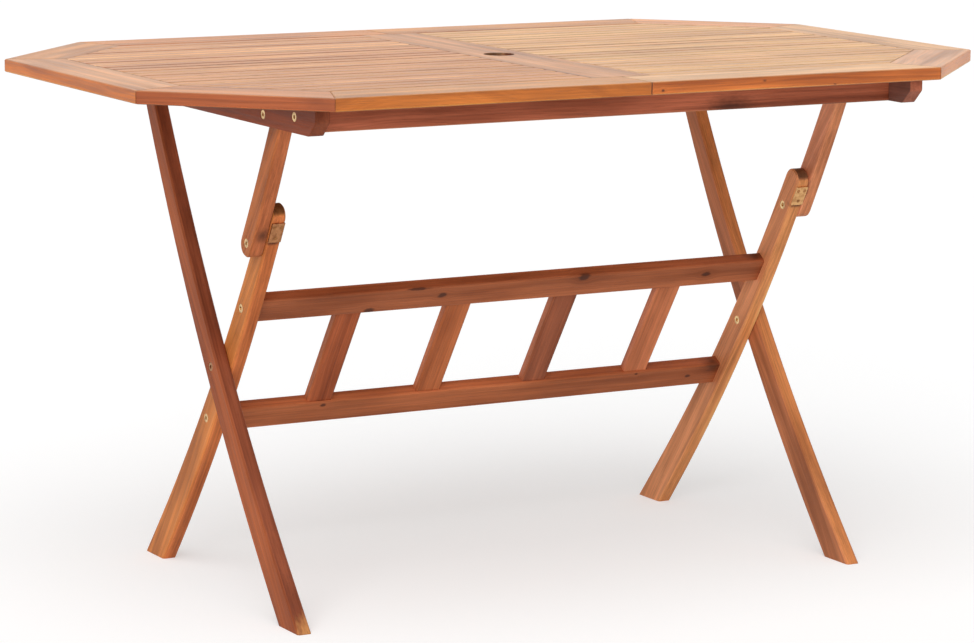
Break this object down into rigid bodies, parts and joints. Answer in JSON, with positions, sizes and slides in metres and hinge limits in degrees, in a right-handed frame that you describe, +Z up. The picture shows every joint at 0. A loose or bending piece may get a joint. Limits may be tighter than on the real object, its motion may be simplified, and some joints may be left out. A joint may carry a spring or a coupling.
{
  "type": "folding garden table",
  "caption": "Octagonal slatted hardwood garden table with a parasol hole, on crossed legs with a jointed knee that fold up under the top.",
  "frame": {"origin": "on the floor under the middle of the top", "axes": "+X along the length of the top, +Y towards the side with the upper ends of the long outer legs, +Z up"},
  "size_m": [1.35, 0.85, 0.75],
  "materials": {
    "top_boards": "oiled acacia, satin, planed boards",
    "top_slats": "oiled acacia, satin, planed slats with eased edges",
    "rails": "oiled acacia, satin, dark streaks",
    "legs": "oiled acacia, satin, rounded edges",
    "ladder": "oiled acacia, satin, a few knots",
    "brass_bolts": "yellow plated, hex socket heads",
    "brass_plates": "yellow plated sheet, lightly brushed"
  },
  "bodies": {
    "tabletop": {"end_board_left": "top_boards", "end_board_right": "top_boards", "corner_board_near_left": "top_boards", "corner_board_near_right": "top_boards", "corner_board_far_left": "top_boards", "corner_board_far_right": "top_boards", "side_board_near_left": "top_boards", "side_board_near_right": "top_boards", "side_board_far_left": "top_boards", "side_board_far_right": "top_boards", "centre_board": "top_boards", "slats_left": "top_slats", "slats_right": "top_slats", "cross_rail_left": "rails", "cross_rail_right": "rails", "long_rail_near": "rails", "long_rail_far": "rails", "rail_bolts": "brass_bolts", "rail_barrel_nuts": "brass_bolts", "pivot_bolts": "brass_bolts", "pivot_nuts": "brass_bolts"},
    "outer_legs": {"outer_leg_left": "legs", "outer_leg_right": "legs", "crossing_bolts": "brass_bolts"},
    "upper_legs": {"upper_leg_left": "legs", "upper_leg_right": "legs", "knee_bolts": "brass_bolts", "knee_nuts": "brass_bolts"},
    "lower_frame": {"lower_leg_left": "legs", "lower_leg_right": "legs", "upper_stretcher": "ladder", "lower_stretcher": "ladder", "ladder_slat_1": "ladder", "ladder_slat_2": "ladder", "ladder_slat_3": "ladder", "ladder_slat_4": "ladder", "crossing_nuts": "brass_bolts", "stretcher_bolts": "brass_bolts", "stretcher_barrel_nuts": "brass_bolts", "knee_plate_left": "brass_plates", "knee_plate_right": "brass_plates", "knee_plate_screws": "brass_plates"}
  },
  "joints": [
    {"name": "outer_leg_fold", "type": "hinge", "parent": "tabletop", "child": "outer_legs", "pos_m": [0, 0.217, 0.708], "axis": [-1, 0, 0], "range_deg": [0, 45.5]},
    {"name": "upper_leg_fold", "type": "hinge", "parent": "tabletop", "child": "upper_legs", "pos_m": [0, -0.217, 0.708], "axis": [1, 0, 0], "range_deg": [0, 58.16]},
    {"name": "knee_fold", "type": "hinge", "parent": "upper_legs", "child": "lower_frame", "pos_m": [0, -0.11791, 0.5185], "axis": [-1, 0, 0], "range_deg": [0, 154.26]}
  ],
  "couplings": [
    {"joint": "outer_leg_fold", "follows": "knee_fold", "ratio": 0.29495},
    {"joint": "upper_leg_fold", "follows": "knee_fold", "ratio": 0.37698}
  ]
}
